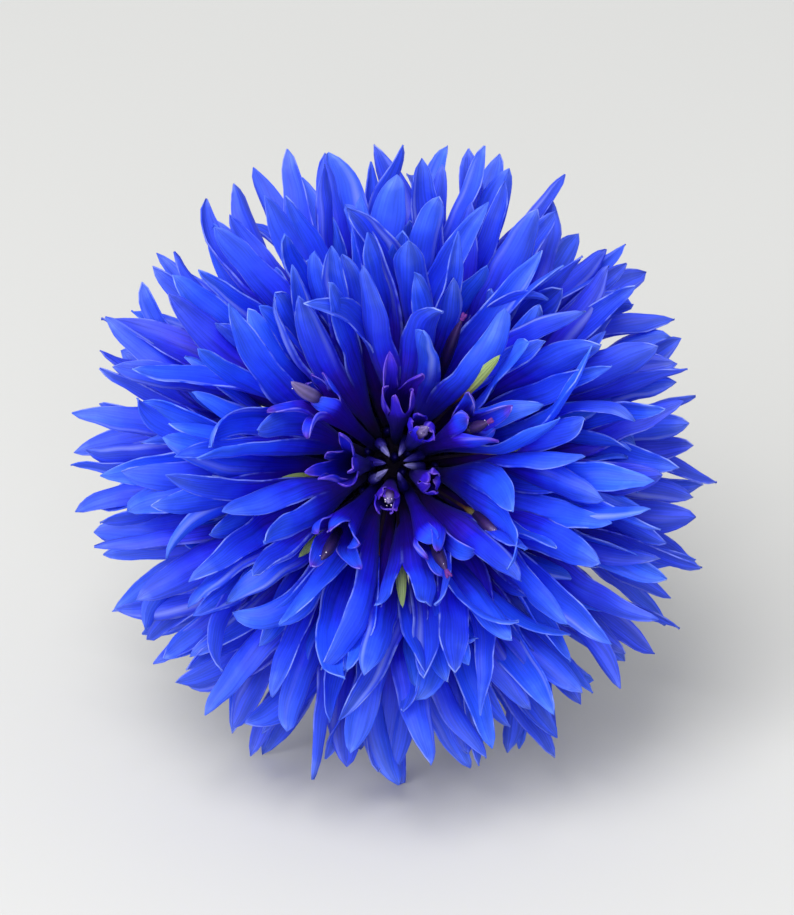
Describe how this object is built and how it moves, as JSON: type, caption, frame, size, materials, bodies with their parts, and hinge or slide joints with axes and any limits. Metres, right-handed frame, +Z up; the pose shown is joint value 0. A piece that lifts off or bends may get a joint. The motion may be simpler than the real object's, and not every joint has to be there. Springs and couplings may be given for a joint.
{
  "type": "cornflower",
  "caption": "Double cornflower head of blue trumpet florets with pointed lobes, over a scaly green cup on a short cut stem, lying down with its face tipped up.",
  "frame": {"origin": "centre of the bounding box's footprint, on the surface that the flower lies on", "axes": "+Y along the stem from the head to its cut end, +Z up; the head faces -Y and its face is tipped 30 degrees up"},
  "size_m": [0.0415, 0.0774, 0.0396],
  "materials": {
    "petal_blue": "matte",
    "throat_violet": "matte",
    "bract_green": "matte",
    "stem_green": "matte"
  },
  "bodies": {
    "root": {"bracts_row_1": "bract_green", "bracts_row_2": "bract_green", "bracts_row_3": "bract_green", "bracts_row_4": "bract_green", "centre_buds": "throat_violet", "disc_floret_01": "throat_violet", "disc_floret_02": "throat_violet", "disc_floret_03": "throat_violet", "inner_floret_01": "petal_blue", "inner_floret_02": "petal_blue", "inner_floret_03": "petal_blue", "inner_floret_04": "petal_blue", "inner_floret_05": "petal_blue", "inner_floret_06": "petal_blue", "middle_floret_01": "petal_blue", "middle_floret_02": "petal_blue", "middle_floret_03": "petal_blue", "middle_floret_04": "petal_blue", "middle_floret_05": "petal_blue", "middle_floret_06": "petal_blue", "middle_floret_07": "petal_blue", "middle_floret_08": "petal_blue", "middle_floret_09": "petal_blue", "middle_floret_10": "petal_blue", "outer_floret_01": "petal_blue", "outer_floret_02": "petal_blue", "outer_floret_03": "petal_blue", "outer_floret_04": "petal_blue", "outer_floret_05": "petal_blue", "outer_floret_06": "petal_blue", "outer_floret_07": "petal_blue", "outer_floret_08": "petal_blue", "outer_floret_09": "petal_blue", "outer_floret_10": "petal_blue", "outer_floret_11": "petal_blue", "outer_floret_12": "petal_blue", "second_floret_01": "petal_blue", "second_floret_02": "petal_blue", "second_floret_03": "petal_blue", "second_floret_04": "petal_blue", "second_floret_05": "petal_blue", "second_floret_06": "petal_blue", "second_floret_07": "petal_blue", "second_floret_08": "petal_blue", "second_floret_09": "petal_blue", "second_floret_10": "petal_blue", "second_floret_11": "petal_blue", "second_floret_12": "petal_blue", "stem": "stem_green", "upper_floret_01": "petal_blue", "upper_floret_02": "petal_blue", "upper_floret_03": "petal_blue", "upper_floret_04": "petal_blue", "upper_floret_05": "petal_blue", "upper_floret_06": "petal_blue", "upper_floret_07": "petal_blue", "upper_floret_08": "petal_blue", "upper_floret_09": "petal_blue", "upper_floret_10": "petal_blue"}
  },
  "joints": []
}
